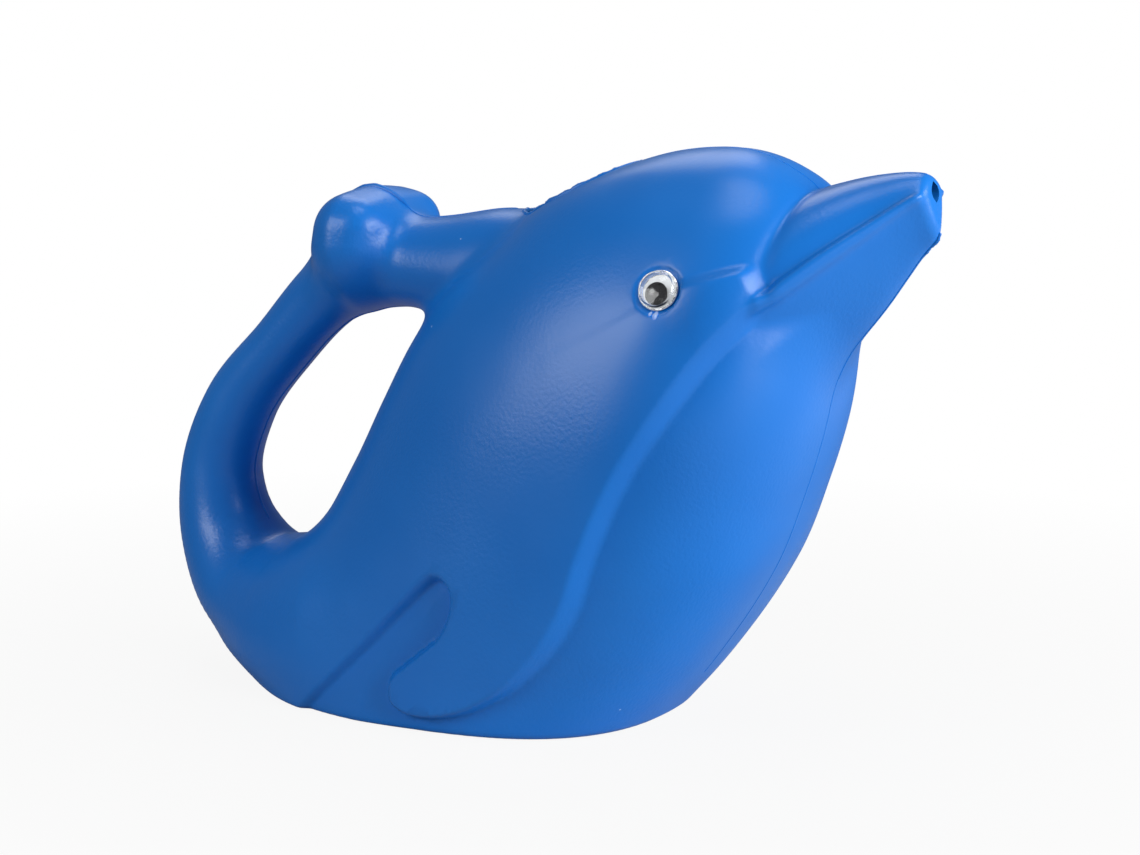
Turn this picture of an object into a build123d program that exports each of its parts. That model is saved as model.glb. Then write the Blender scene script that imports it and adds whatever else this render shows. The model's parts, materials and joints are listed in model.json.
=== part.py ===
"""Children's watering can in the shape of a dolphin: one hollow moulded body and two glued-on rolling eyes.

Millimetres, +Z up, beak towards +X, the dolphin's right side towards -Y. The origin is on the ground,
under the middle of the can. Form tables give shares of the can's length, width and height.
"""

from build123d import *
import os

# Moulded body
can_length = 274.0
can_width = 117.0
can_height = 177.5
wall = 1.8
cape_step = 2.2  # the back and flippers stand this far proud of the belly
base_round = 3.0

# Tail loop that is the handle, with its root in the body and its neck behind the head
grip_diameter = 25.0
root_thickness = 45.0
root_width = 84.0
neck_diameter = 37.0

# Tail flukes across the top corner of the loop
fluke_span = 50.0
fluke_depth = 24.0
fluke_height = 25.0
fluke_round = 9.0

# Openings
fill_length = 42.0
fill_width = 26.0
spout_height = 6.0
spout_width = 3.4
tip_round = 3.0

# Rolling eyes
eye_diameter = 12.0
eye_rim = 1.05
dome_height = 2.6
dome_wall = 0.5
dome_round = 0.8
flange_height = 0.7
backing_thickness = 0.6
pupil_diameter = 7.1
pupil_thickness = 0.8
pupil_clearance = 0.1
pupil_gap = 0.3
socket_margin = 1.5
socket_depth = 0.9
glue_film = 0.2
glue_bead = 1.2
glue_clearance = 0.05

# Fullness of the egg sections' curves: 0.55 draws an ellipse, more is squarer
front_fullness = 0.66
back_fullness = 0.64
upper_jaw_fullness = 0.40
lower_jaw_fullness = 0.48

# Egg sections of the body: height, back, widest place and front, half width
body_sections = [
    (0.000, -0.376, -0.058, 0.190, 0.449),
    (0.068, -0.387, -0.029, 0.228, 0.474),
    (0.152, -0.350, 0.029, 0.268, 0.491),
    (0.282, -0.277, 0.095, 0.321, 0.500),
    (0.423, -0.219, 0.139, 0.358, 0.491),
    (0.535, -0.173, 0.172, 0.381, 0.479),
    (0.648, -0.124, 0.201, 0.398, 0.449),
    (0.744, -0.073, 0.223, 0.401, 0.406),
    (0.823, -0.022, 0.234, 0.394, 0.350),
    (0.885, 0.022, 0.245, 0.383, 0.291),
    (0.935, 0.080, 0.252, 0.361, 0.218),
    (0.969, 0.139, 0.255, 0.323, 0.150),
    (1.000, 0.204, 0.255, 0.286, 0.068),
]

# Middle line of the tail loop: place along and up, then how much of the root's and the neck's size it has
tail_stations = [
    (-0.204, 0.147, 1.00, 0.00),
    (-0.314, 0.124, 0.84, 0.00),
    (-0.394, 0.147, 0.58, 0.00),
    (-0.442, 0.237, 0.25, 0.00),
    (-0.445, 0.349, 0.06, 0.00),
    (-0.409, 0.479, 0.00, 0.00),
    (-0.339, 0.603, 0.00, 0.00),
    (-0.270, 0.710, 0.00, 0.06),
    (-0.204, 0.777, 0.00, 0.25),
    (-0.131, 0.770, 0.00, 0.80),
    (-0.085, 0.770, 0.00, 0.92),
    (-0.040, 0.769, 0.00, 1.00),
    (-0.003, 0.768, 0.00, 1.03),
    (0.035, 0.768, 0.00, 1.05),
]

# Sections of the beak: place along, mouth line, top, bottom, half width
beak_sections = [
    (0.2990, 0.727, 0.890, 0.518, 0.350),
    (0.3470, 0.777, 0.928, 0.586, 0.299),
    (0.4160, 0.845, 0.960, 0.699, 0.186),
    (0.4640, 0.894, 0.970, 0.794, 0.109),
    (0.4985, 0.924, 0.960, 0.860, 0.062),
]

# Edge of the belly seen from the side: from the mouth down to the flipper, round its tip, up to the slot
belly_line = [
    (0.400, 0.845),
    (0.350, 0.774),
    (0.304, 0.696),
    (0.247, 0.565),
    (0.203, 0.444),
    (0.154, 0.251),
    (0.103, 0.138),
    (0.051, 0.070),
    (-0.001, 0.038),
]
flipper_tip = (-0.060, 0.060)
flipper_rear = [(-0.051, 0.108), (-0.011, 0.172), (0.018, 0.245)]
slot_top = (0.011, 0.275)
groove_start = (-0.020, 0.255)
groove_end = (-0.192, 0.010)

# Where the inside steps in from the cape to the belly, clear behind the belly's edge
liner_line = [(0.400, 0.900), (0.290, 0.760), (0.160, 0.480), (-0.010, 0.330), (-0.150, 0.180), (-0.240, -0.050)]

# Places of the flukes, openings and eyes
fluke_place = (-0.208, 0.893)
fill_place = 0.066
spout_place = 0.932
eye_place = (0.250, 0.785)


def along(share):
    return share * can_length


def across(share):
    return share * can_width


def up(share):
    return share * can_height


def side_point(place):
    """A point of the side view, as local coordinates on the XZ plane."""
    return (along(place[0]), up(place[1]))


def egg_loft(inset, bottom, top, edge_round=0.0):
    """The body's egg sections drawn in by inset, with their heights between bottom and top."""
    with BuildPart() as form:
        for height, back, widest, front, half in body_sections:
            middle = along(widest)
            nose = along(front) - inset
            rear = along(back) + inset
            side = across(half) - inset
            nose_pull = front_fullness * (nose - middle)
            rear_pull = back_fullness * (middle - rear)
            with BuildSketch(Plane.XY.offset(bottom + height * (top - bottom))):
                with BuildLine():
                    Bezier((nose, 0), (nose, front_fullness * side), (middle + nose_pull, side), (middle, side))
                    Bezier((middle, side), (middle - rear_pull, side), (rear, back_fullness * side), (rear, 0))
                    mirror(about=Plane.XZ)
                make_face()
        loft()
        if edge_round:
            fillet(form.edges().group_by(Axis.Z)[0], edge_round)
    return form.part


def tail_loft(inset):
    """The tail loop as ellipses square to its middle line, drawn in by inset."""
    middles = [Vector(along(x), 0, up(z)) for x, z, root, neck in tail_stations]
    with BuildPart() as form:
        for number, (x, z, root, neck) in enumerate(tail_stations):
            before = middles[max(number - 1, 0)]
            after = middles[min(number + 1, len(middles) - 1)]
            swell = neck * (neck_diameter - grip_diameter)
            thickness = grip_diameter + root * (root_thickness - grip_diameter) + swell
            width = grip_diameter + root * (root_width - grip_diameter) + swell
            with BuildSketch(Plane(middles[number], x_dir=(0, 1, 0), z_dir=after - before)):
                Ellipse(width / 2 - inset, thickness / 2 - inset)
        loft()
    return form.part


def beak_loft(inset):
    """The beak's sections, each an upper and a lower jaw that meet at the mouth line, drawn in by inset."""
    with BuildPart() as form:
        for place, mouth, top, bottom, half in beak_sections:
            side = across(half) - inset
            line = up(mouth)
            roof = up(top) - inset
            floor = up(bottom) + inset
            upper = upper_jaw_fullness * side
            lower = lower_jaw_fullness * side
            roof_pull = line + upper_jaw_fullness * (roof - line)
            floor_pull = line - lower_jaw_fullness * (line - floor)
            setback = inset if place == beak_sections[-1][0] else 0
            with BuildSketch(Plane.YZ.offset(along(place) - setback)):
                with BuildLine():
                    Bezier((0, roof), (upper, roof), (side, roof_pull), (side, line))
                    Bezier((side, line), (side, floor_pull), (lower, floor), (0, floor))
                    Bezier((0, floor), (-lower, floor), (-side, floor_pull), (-side, line))
                    Bezier((-side, line), (-side, roof_pull), (-upper, roof), (0, roof))
                make_face()
        loft()
        if not inset:
            fillet(form.faces().sort_by(Axis.X)[-1].edges(), tip_round)
    return form.part


def fluke_block(inset):
    """The flukes as one rounded bar across the loop's top corner, drawn in by inset."""
    top = up(fluke_place[1])
    with BuildPart() as form:
        with Locations((along(fluke_place[0]), 0, top - fluke_height / 2)):
            Box(fluke_depth - 2 * inset, fluke_span - 2 * inset, fluke_height - 2 * inset)
        fillet(form.edges(), fluke_round - inset)
    return form.part


def belly_prism():
    """Everything in front of and below the belly's edge, right through the can."""
    with BuildPart() as form:
        with BuildSketch(Plane.XZ):
            with BuildLine():
                edge = Spline([side_point(place) for place in belly_line])
                tip = Spline(
                    edge @ 1,
                    side_point(flipper_tip),
                    side_point(flipper_rear[0]),
                    tangents=[edge % 1, Vector(1, 1)],
                )
                rear = Spline([side_point(place) for place in flipper_rear], tangents=[tip % 1, Vector(0, 1)])
                slot = Spline(
                    rear @ 1,
                    side_point(slot_top),
                    side_point(groove_start),
                    tangents=[rear % 1, Vector(-1, -1)],
                )
                Polyline(
                    slot @ 1,
                    side_point(groove_end),
                    (along(groove_end[0]), -can_height),
                    (can_length, -can_height),
                    (can_length, up(belly_line[0][1])),
                    edge @ 0,
                )
            make_face()
        extrude(amount=can_width, both=True)
    return form.part


def liner_prism():
    """Everything in front of the line where the inside steps in, which runs clear behind the belly's edge."""
    with BuildPart() as form:
        with BuildSketch(Plane.XZ):
            with BuildLine():
                edge = Spline([side_point(place) for place in liner_line])
                Polyline(
                    edge @ 1,
                    (along(liner_line[-1][0]), -can_height),
                    (can_length, -can_height),
                    (can_length, up(liner_line[0][1])),
                    edge @ 0,
                )
            make_face()
        extrude(amount=can_width, both=True)
    return form.part


# The body's outer and inner forms
cape = egg_loft(0, 0, can_height, base_round)
belly = egg_loft(cape_step, 0, can_height - cape_step, base_round)
inner_cape = egg_loft(wall, wall, can_height - wall)
inner_belly = egg_loft(cape_step + wall, wall, can_height - cape_step - wall)

# Where an eye sits: the cape's surface on a line across the head
eye_line = Axis((along(eye_place[0]), 0, up(eye_place[1])), (0, 1, 0))
eye_spots = sorted(cape.find_intersection_points(eye_line), key=lambda spot: spot[0].Y)
eye_planes = {}
for side, (spot, outwards) in (("right", eye_spots[0]), ("left", eye_spots[-1])):
    eye_planes[side] = Plane(spot, x_dir=Vector(0, 0, 1).cross(outwards), z_dir=outwards)

# Where the filling mouth sits: the top of the back behind the head
fill_line = Axis((along(fill_place), 0, 0), (0, 0, 1))
fill_spot, fill_normal = max(cape.find_intersection_points(fill_line), key=lambda spot: spot[0].Z)
fill_plane = Plane(fill_spot, x_dir=Vector(0, 1, 0).cross(fill_normal), z_dir=fill_normal)

eye_radius = eye_diameter / 2
socket_radius = eye_radius + socket_margin
chamber_radius = eye_radius - eye_rim
crown_radius = chamber_radius + dome_wall
backing_top = glue_film + backing_thickness - socket_depth
pupil_orbit = chamber_radius - pupil_clearance - pupil_diameter / 2
fill_reach = fill_width / 2

with BuildPart() as hollow:
    add(inner_cape)
    add(liner_prism(), mode=Mode.SUBTRACT)
    add(inner_belly)
    add(tail_loft(wall))
    add(fluke_block(wall))
    add(beak_loft(wall))

with BuildPart() as body:
    add(cape)
    add(belly_prism(), mode=Mode.SUBTRACT)
    add(belly)
    add(tail_loft(0))
    add(fluke_block(0))
    add(beak_loft(0))
    add(hollow.part, mode=Mode.SUBTRACT)
    with BuildSketch(fill_plane):
        Ellipse(fill_length / 2, fill_width / 2)
    extrude(amount=fill_reach, both=True, mode=Mode.SUBTRACT)
    with BuildSketch(Plane.YZ.offset(along(beak_sections[-1][0]) - 2 * spout_height)):
        with BuildLine():
            ThreePointArc(
                (0, up(spout_place) - spout_height / 2),
                (spout_width / 2, up(spout_place)),
                (0, up(spout_place) + spout_height / 2),
            )
            mirror(about=Plane.YZ)
        make_face()
    extrude(amount=4 * spout_height, mode=Mode.SUBTRACT)
    for plane in eye_planes.values():
        with BuildSketch(plane.offset(-socket_depth)):
            Circle(socket_radius)
        extrude(amount=socket_radius, mode=Mode.SUBTRACT)

body.part.label = "body"
os.makedirs("parts", exist_ok=True)
export_step(body.part, "parts/body.step")

# Each eye, from its socket outwards: glue, white backing, clear dome, and the loose pupil between them
for side, plane in eye_planes.items():
    with BuildPart() as glue:
        with BuildSketch(plane.offset(-socket_depth)):
            Circle(chamber_radius)
            with Locations((0, -eye_radius / 2)):
                Rectangle(glue_bead, eye_radius + glue_bead)
        extrude(amount=glue_film)
        with BuildSketch(plane.offset(-socket_depth)):
            with Locations((0, -eye_radius - glue_clearance - glue_bead / 2)):
                Circle(glue_bead / 2)
        extrude(amount=glue_bead)
    glue.part.label = f"{side}_eye_glue"
    export_step(glue.part, f"parts/{side}_eye_glue.step")

    with BuildPart() as backing:
        with BuildSketch(plane.offset(glue_film - socket_depth)):
            Circle(eye_radius)
        extrude(amount=backing_thickness)
    backing.part.label = f"{side}_eye_backing"
    export_step(backing.part, f"parts/{side}_eye_backing.step")

    crown_top = backing_top + dome_height
    flange_top = backing_top + flange_height
    with BuildPart() as dome:
        with BuildSketch(Plane(plane.origin, x_dir=plane.x_dir, z_dir=-plane.y_dir)):
            with BuildLine():
                Polyline(
                    (chamber_radius, backing_top),
                    (eye_radius, backing_top),
                    (eye_radius, flange_top),
                    (crown_radius, flange_top),
                    (crown_radius, crown_top - dome_round),
                )
                RadiusArc(
                    (crown_radius, crown_top - dome_round),
                    (crown_radius - dome_round, crown_top),
                    -dome_round,
                )
                Polyline(
                    (crown_radius - dome_round, crown_top),
                    (0, crown_top),
                    (0, crown_top - dome_wall),
                    (chamber_radius, crown_top - dome_wall),
                    (chamber_radius, backing_top),
                )
            make_face()
        revolve(axis=Axis(plane.origin, plane.z_dir))
    dome.part.label = f"{side}_eye_dome"
    export_step(dome.part, f"parts/{side}_eye_dome.step")

    with BuildPart() as pupil:
        with BuildSketch(plane.offset(backing_top + pupil_gap)):
            with Locations((0, -pupil_orbit)):
                Circle(pupil_diameter / 2)
        extrude(amount=pupil_thickness)
    pupil.part.label = f"{side}_eye_pupil"
    export_step(pupil.part, f"parts/{side}_eye_pupil.step")
    print(side, "eye centre", plane.origin, "axis", plane.z_dir)

print("filling mouth at", fill_plane.origin, "facing", fill_plane.z_dir)
print("body", body.part.bounding_box(), "plastic volume", body.part.volume, "water volume", hollow.part.volume)
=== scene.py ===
# %% [markdown]
# # A dolphin watering can in moulded blue plastic
# The imported CAD part comes in first and stays where it is. Everything below is built in its frame:
# metres, Z up, the beak towards +X and the side that the camera sees towards -Y.

# %% The imported part
import json

import bmesh
import bpy
import numpy as np
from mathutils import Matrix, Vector


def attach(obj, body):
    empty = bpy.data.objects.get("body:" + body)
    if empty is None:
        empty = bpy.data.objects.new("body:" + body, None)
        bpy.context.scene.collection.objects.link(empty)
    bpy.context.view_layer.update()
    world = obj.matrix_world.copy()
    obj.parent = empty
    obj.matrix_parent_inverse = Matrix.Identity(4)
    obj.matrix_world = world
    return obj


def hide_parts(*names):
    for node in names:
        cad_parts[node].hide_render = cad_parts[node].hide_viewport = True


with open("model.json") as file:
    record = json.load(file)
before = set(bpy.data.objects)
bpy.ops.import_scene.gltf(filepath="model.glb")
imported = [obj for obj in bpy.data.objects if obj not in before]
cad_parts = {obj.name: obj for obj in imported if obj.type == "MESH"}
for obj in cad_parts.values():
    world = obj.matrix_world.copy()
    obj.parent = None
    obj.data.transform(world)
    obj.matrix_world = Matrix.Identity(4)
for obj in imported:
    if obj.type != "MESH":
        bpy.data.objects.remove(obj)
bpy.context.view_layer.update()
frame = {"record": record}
MM = 0.001

# %% [markdown]
# ## The camera
# A camera can be placed by eye, but here the picture's own geometry gives it. A long lens stands 0.9 m
# away, thirty degrees round from the right side and ten degrees above the table, and looks at a point
# near the middle of the can. The focal length is kept in pixels of the picture, so the lens follows
# from the sensor's width alone.

# %% Camera at the photograph's angle
photo_width = 1140
focal_pixels = 2893
view_distance = 0.900
view_target = np.array((0.014, 0.0, 0.088))


def direction(azimuth, elevation):
    """Unit vector at angles in degrees: round from the right side towards the beak, and up from level."""
    turn, rise = np.radians((azimuth, elevation))
    return np.array((np.sin(turn) * np.cos(rise), -np.cos(turn) * np.cos(rise), np.sin(rise)))


def placed(name, data):
    """A new object with the given data, in the scene."""
    thing = bpy.data.objects.new(name, data)
    bpy.context.scene.collection.objects.link(thing)
    return thing


def aim(thing, outwards, distance):
    """Puts a camera or lamp at a distance from the view's target, facing it."""
    thing.location = view_target + distance * outwards
    thing.rotation_euler = Vector(-outwards).to_track_quat("-Z", "Y").to_euler()


camera = placed("camera", bpy.data.cameras.new("camera"))
aim(camera, direction(azimuth=30, elevation=10), view_distance)
camera.data.sensor_width = 36
camera.data.lens = camera.data.sensor_width * focal_pixels / photo_width
camera.data.clip_start = 0.05
bpy.context.scene.camera = camera
print("lens", round(camera.data.lens, 1), "mm")

# %% [markdown]
# ## The moulded form as a field
# The body, the tail loop, the flukes and the beak run into each other with soft hollows, as blown
# plastic does. Separate grids of points would leave hard seams there. So each form is written as a
# field instead: a number at every point of a box of samples, below zero inside the form and above zero
# outside, about equal to the distance from its surface in millimetres. Two fields join in a smooth
# minimum, and the surface is drawn once, where the joined field is zero. The two halves of the can are
# mirror images, so only the right half, y below zero, is worked out, with a few samples to spare.

# %% The box of samples and the tools for fields
sample_step = 0.8
spare = 2
least_ratio_steepness = 0.006
first_samples = np.array((-175, -78, -5))
last_samples = np.array((175, spare, 227))
reach_low = sample_step * first_samples
axis_x, axis_y, axis_z = (
    sample_step * np.arange(first, last + 1) for first, last in zip(first_samples, last_samples)
)
grid_x = axis_x[:, None, None].astype(np.float32)
grid_y = axis_y[None, :, None].astype(np.float32)
grid_z = axis_z[None, None, :].astype(np.float32)
flat_x = axis_x[:, None].astype(np.float32)
flat_z = axis_z[None, :].astype(np.float32)


def through(place, rows, column):
    """Smooth value at a place: a cubic piece between each two rows of a table, whose slope at a row is
    the mean of the slopes on both sides, weighted towards the shorter. Column 0 holds the places."""
    knots, values = rows[:, 0], rows[:, column]
    gap = np.diff(knots)
    slope = np.diff(values) / gap
    lean = np.empty_like(values)
    lean[1:-1] = (slope[:-1] * gap[1:] + slope[1:] * gap[:-1]) / (gap[1:] + gap[:-1])
    lean[0], lean[-1] = slope[0], slope[-1]
    place = np.clip(place, knots[0], knots[-1])
    row = np.clip(np.searchsorted(knots, place, side="right") - 1, 0, len(knots) - 2)
    t = (place - knots[row]) / gap[row]
    rising = t * t * (3 - 2 * t)
    bend = gap[row] * t * (1 - t) * ((1 - t) * lean[row] - t * lean[row + 1])
    return (values[row] * (1 - rising) + values[row + 1] * rising + bend).astype(np.float32)


def steepness(values):
    """How fast a box of samples changes per millimetre: the length of its slopes along the three axes."""
    return np.sqrt(sum(slope * slope for slope in np.gradient(values, sample_step)))


def as_distance(ratio):
    """Distance field of a form given as a ratio that is 1 on its surface: ratio less one, over the
    steepness of the ratio there."""
    return (ratio - 1) / np.maximum(steepness(ratio), least_ratio_steepness)


def soft_union(first, second, width):
    """The lesser of two fields, rounded over a band where they differ by less than the width."""
    share = np.clip(0.5 + 0.5 * (second - first) / width, 0, 1)
    return second * (1 - share) + first * share - width * share * (1 - share)


def soft_cut(first, second, width):
    """The greater of two fields, rounded in the same way."""
    return -soft_union(-first, -second, width)


def ease(value):
    """Zero below 0, one above 1, and an S-shaped rise between."""
    t = np.clip(value, 0, 1)
    return t * t * (3 - 2 * t)


def between(value, start, end):
    """The same rise, from zero at a start to one at an end, which may lie below the start."""
    return ease((value - start) / (end - start))


def rise_over(value, width):
    """The same rise, centred on zero and spread over a width."""
    return ease(value / width + 0.5)


print("samples", len(axis_x), len(axis_y), len(axis_z))

# %% [markdown]
# ## The body
# The trunk and head are a leaning egg. Sections at fourteen heights give where the back, the widest
# place and the front lie, and half the width there. Each section is two half ovals, fuller than an
# ellipse, joined at the widest place. Towards the crown the sections shrink to a point, where a ratio
# of sizes is no good measure of distance. There the field is the height above a dome instead.

# %% Trunk and head
# height, back, widest place, front and half width, in millimetres
body_rows = np.array((
    (0, -91, -16, 51.5, 57),
    (12, -102, -8, 62.2, 57.5),
    (27, -94, 8, 73.6, 58.2),
    (50, -72.6, 26, 88, 58.5),
    (75, -56.4, 38, 98, 57.5),
    (95, -45.9, 47, 104.1, 56),
    (115, -35, 55, 107.5, 52.5),
    (132, -22.4, 61, 108.3, 47.5),
    (146, -6, 64, 108, 41),
    (157, 7.2, 67, 105, 34),
    (166, 23.2, 69, 98.6, 25.5),
    (172, 39.2, 70, 89.6, 18),
    (175.6, 52.8, 70, 81, 10.1),
    (177.15, 67, 70, 71.9, 1.75),
))
head_top = 177.2
climb_rows = np.column_stack((-np.sqrt(head_top - body_rows[:, 0]), body_rows[:, 1:]))
front_fullness = 2.4
back_fullness = 2.3
dome_span = (158, 170)
least_dome_steepness = 0.5


def egg_ratio(x, y, z):
    """How far out a point lies in its section: the distances from the widest place, as shares of the
    section's reach, are raised to the fullness, added, and brought back by its root. The rows are read by
    the square root of the way left to the top, in which a round crown is a straight line."""
    climb = -np.sqrt(np.maximum(head_top - z, 0))
    back, widest, front, half = (through(climb, climb_rows, column) for column in (1, 2, 3, 4))
    reach = np.where(x > widest, front - widest, widest - back)
    fullness = np.where(x > widest, front_fullness, back_fullness).astype(np.float32)
    return (np.abs((x - widest) / reach) ** fullness + np.abs(y / half) ** fullness) ** (1 / fullness)


section_ratio = egg_ratio(grid_x, grid_y, grid_z)
trunk = as_distance(section_ratio)
# the dome's surface is where the squared ratio, times the way left to the top, equals that way
left_to_climb = np.maximum(head_top - grid_z, head_top - body_rows[-1, 0])
above_dome = section_ratio**2 * left_to_climb - (head_top - grid_z)
dome = above_dome / np.maximum(steepness(above_dome), least_dome_steepness)
dome_share = between(grid_z, *dome_span)
trunk = trunk * (1 - dome_share) + dome * dome_share
print("trunk is", round(float(np.ptp(body_rows[:, 1:4]))), "mm from back to front")

# %% [markdown]
# ## The relief on the flanks
# The darker back of a dolphin is a cape that stands a little proud of the belly, with the flipper as
# its lowest lobe. The edge between them is the same line on both flanks, so it is a line in the side
# view: it runs from the corner of the mouth down to the flipper, round its tip, up behind it to a
# slot, and then straight down to the base as a groove. The distance from that line sets how far the
# belly is let in, over a bevel that is wide at the throat and crisp round the flipper.

# %% Cape edge, flipper, slot and groove
# x, z and width of the bevel, along the edge of the cape
cape_edge = np.array((
    (97, 138.8, 2.6),
    (90.6, 131.8, 3.8),
    (83, 123.2, 4.3),
    (75, 111.5, 4.5),
    (67.8, 100.2, 4.5),
    (61.2, 89.5, 4.5),
    (55.7, 78.8, 4.5),
    (48.5, 61.5, 4.5),
    (42.3, 44.6, 4.5),
    (36, 34, 4.0),
    (28.2, 24.5, 3.2),
    (21.3, 17.6, 2.4),
    (14.1, 12.5, 1.8),
    (6.8, 8.8, 1.5),
    (-0.3, 6.7, 1.3),
    (-7, 6, 1.3),
    (-12.7, 6.9, 1.3),
    (-16.2, 9.3, 1.3),
    (-16.9, 12.6, 1.3),
    (-15.8, 16.3, 1.4),
    (-12.4, 19.2, 1.4),
    (-4.9, 25.4, 1.3),
    (1.3, 30.7, 1.2),
    (5.2, 37.6, 1.2),
    (6.4, 43.4, 1.3),
    (5.4, 47.6, 1.8),
    (2.4, 50.3, 2.6),
    (-1.6, 50.9, 3.2),
    (-5.4, 48.6, 3.4),
    (-12.4, 42, 3.2),
    (-27, 27.2, 2.8),
    (-53.2, 2.5, 2.4),
    (-60.8, -4.6, 2.4),
))
edge_close = np.array(((-60.8, -40), (180, -40), (180, 138.8)))
# x and depth of the belly below the cape
let_in_rows = np.array(((-60, 1.5), (-30, 2.2), (0, 2.8), (40, 2.8), (70, 2.8), (110, 2.6)))
hollow_share = 0.42
hollow_reach = 14.0
bevel_power = 1.25


def rounded_line(points, parts):
    """A smooth line through points: every column is carried by cubic pieces over the length run."""
    run = np.r_[0, np.cumsum(np.hypot(*np.diff(points[:, :2], axis=0).T))]
    rows = np.column_stack((run, points))
    place = np.linspace(0, run[-1], parts)
    return np.column_stack([through(place, rows, column) for column in range(1, rows.shape[1])])


def nearest_on_line(line, x, z):
    """For each place of the side view: the distance to a line of short runs, and the line's other
    columns at the nearest place. All the runs are tried at once, and the least distance is kept."""
    start, run = line[:-1], np.diff(line, axis=0)
    px = (x + 0 * z)[..., None] - start[:, 0]
    pz = (z + 0 * x)[..., None] - start[:, 1]
    share = np.clip((px * run[:, 0] + pz * run[:, 1]) / (run[:, 0] ** 2 + run[:, 1] ** 2), 0, 1)
    away = np.hypot(px - share * run[:, 0], pz - share * run[:, 1])
    pick = away.argmin(-1)[..., None]
    share = np.take_along_axis(share, pick, -1)[..., 0]
    pick = pick[..., 0]
    found = [start[pick, column] + share * run[pick, column] for column in range(2, line.shape[1])]
    return [np.take_along_axis(away, pick[..., None], -1)[..., 0], *found]


def inside_outline(outline, x, z):
    """True inside a closed outline: a ray towards +X crosses it an odd number of times."""
    start, end = outline, np.roll(outline, -1, axis=0)
    px, pz = (x + 0 * z)[..., None], (z + 0 * x)[..., None]
    spans = (start[:, 1] > pz) != (end[:, 1] > pz)
    rise = np.where(end[:, 1] == start[:, 1], 1, end[:, 1] - start[:, 1])
    crossing = start[:, 0] + (pz - start[:, 1]) * (end[:, 0] - start[:, 0]) / rise
    return np.logical_and(spans, px < crossing).sum(-1) % 2 == 1


edge_line = rounded_line(cape_edge, parts=220)
edge_away, edge_bevel = nearest_on_line(edge_line, flat_x, flat_z)
belly_side = inside_outline(np.vstack((edge_line[:, :2], edge_close)), flat_x, flat_z)
down_bevel = np.clip(np.where(belly_side, edge_away, 0) / edge_bevel, 0, 1)
hollow = 1 + hollow_share * np.exp(-((edge_away / hollow_reach) ** 2))
belly_depth = through(flat_x, let_in_rows, 1) * hollow * down_bevel**bevel_power
print("belly let in by up to", round(float(belly_depth.max()), 2), "mm")

# %% [markdown]
# A fold of the cheek runs through the eye, from the back of the head to the corner of the mouth. The
# skin below it swells, most at the mouth. It is a second line in the side view, with a height that
# rises quickly across the line and fades away below it.

# %% Fold of the cheek
# x, z and height of the swelling below the line
cheek_line = rounded_line(np.array((
    (30, 116.5, 0.0),
    (39.8, 120.8, 0.1),
    (52.3, 127.4, 0.2),
    (62.5, 133.6, 0.3),
    (68.6, 138.2, 0.5),
    (74.6, 141.4, 1.3),
    (82.8, 143.8, 2.2),
    (91.6, 146.2, 2.3),
    (102, 147.6, 1.7),
)), parts=90)
fold_width = 3.2
fold_fade = 15.0
cheek_top = np.array((92.0, 147.5))
cheek_bottom = np.array((97.5, 138.0))
cheek_round = 5.0
fold_away, fold_height = nearest_on_line(cheek_line, flat_x, flat_z)
fold_rows = cheek_line[:, :2]
fold_below = flat_z < through(flat_x, fold_rows, 1)
fold_side = np.where(fold_below, fold_away, -fold_away)
cheek_swell = fold_height * rise_over(fold_side, fold_width) * np.exp(-((fold_side / fold_fade) ** 2))
cheek_lean = (cheek_bottom[0] - cheek_top[0]) / (cheek_bottom[1] - cheek_top[1])
cheek_front = cheek_top[0] + cheek_lean * (flat_z - cheek_top[1]) - flat_x
cheek_swell = cheek_swell * rise_over(cheek_front, cheek_round) * (1 - down_bevel)
trunk = trunk + belly_depth[:, None, :]
print("cheek swells by up to", round(float(cheek_swell.max()), 2), "mm")

# %% [markdown]
# ## The tail loop and the neck
# The tail leaves the bottom of the back, thick and wide, and thins to a round grip that climbs and
# turns forward into the neck. That is a profile carried along a path: an oval whose two half widths
# change along a line in the middle plane. As the path is flat, the nearest place on it depends on the
# side view alone, and the width across comes in afterwards. The path turns sharply under the flukes,
# so the grip and the neck are two runs of it, joined softly at the bend.

# %% Handle and neck
# x, z, half thickness in the side view and half width across
tail_rows = np.array((
    (-56, 26, 22, 42),
    (-86, 21, 20.6, 36),
    (-106.4, 26.6, 18.4, 26),
    (-118.0, 42.5, 16.5, 17),
    (-120.7, 62, 13.7, 13.5),
    (-112.4, 85, 11.9, 12.8),
    (-93.5, 107, 10.5, 12.4),
    (-74, 126, 11.7, 13),
    (-56, 136.6, 14, 15),
    (-36, 136.3, 14.8, 17.2),
    (-11, 134.6, 20.4, 20),
    (12, 134.6, 21, 20.5),
))
bend_row = 8
bend_blend = 5.0
least_tube_steepness = 0.004


def oval_tube(line):
    """Field of an oval carried along a line in the middle plane. The offsets in the side view and across,
    as shares of the half thickness and half width, give a ratio that is 1 on the surface; the ratio less
    one, over its own steepness, is the distance."""
    away, thick, wide = nearest_on_line(line, flat_x, flat_z)
    ratio = np.hypot((away / thick)[:, None, :], grid_y / wide[:, None, :])
    slope = np.hypot((away / thick**2)[:, None, :], grid_y / wide[:, None, :] ** 2)
    return ratio * (ratio - 1) / np.maximum(slope, least_tube_steepness)


grip = oval_tube(rounded_line(tail_rows[: bend_row + 1], parts=100))
neck = oval_tube(rounded_line(tail_rows[bend_row:], parts=40))
tail = soft_union(grip, neck, bend_blend)
print("grip is", round(2 * float(tail_rows[:, 2].min()), 1), "mm thick")

# %% [markdown]
# ## The flukes
# The flukes are a bar with round ends across the top of the loop: a box with rounded edges. Its field
# is the distance from a smaller box inside it, less the rounding.

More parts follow.
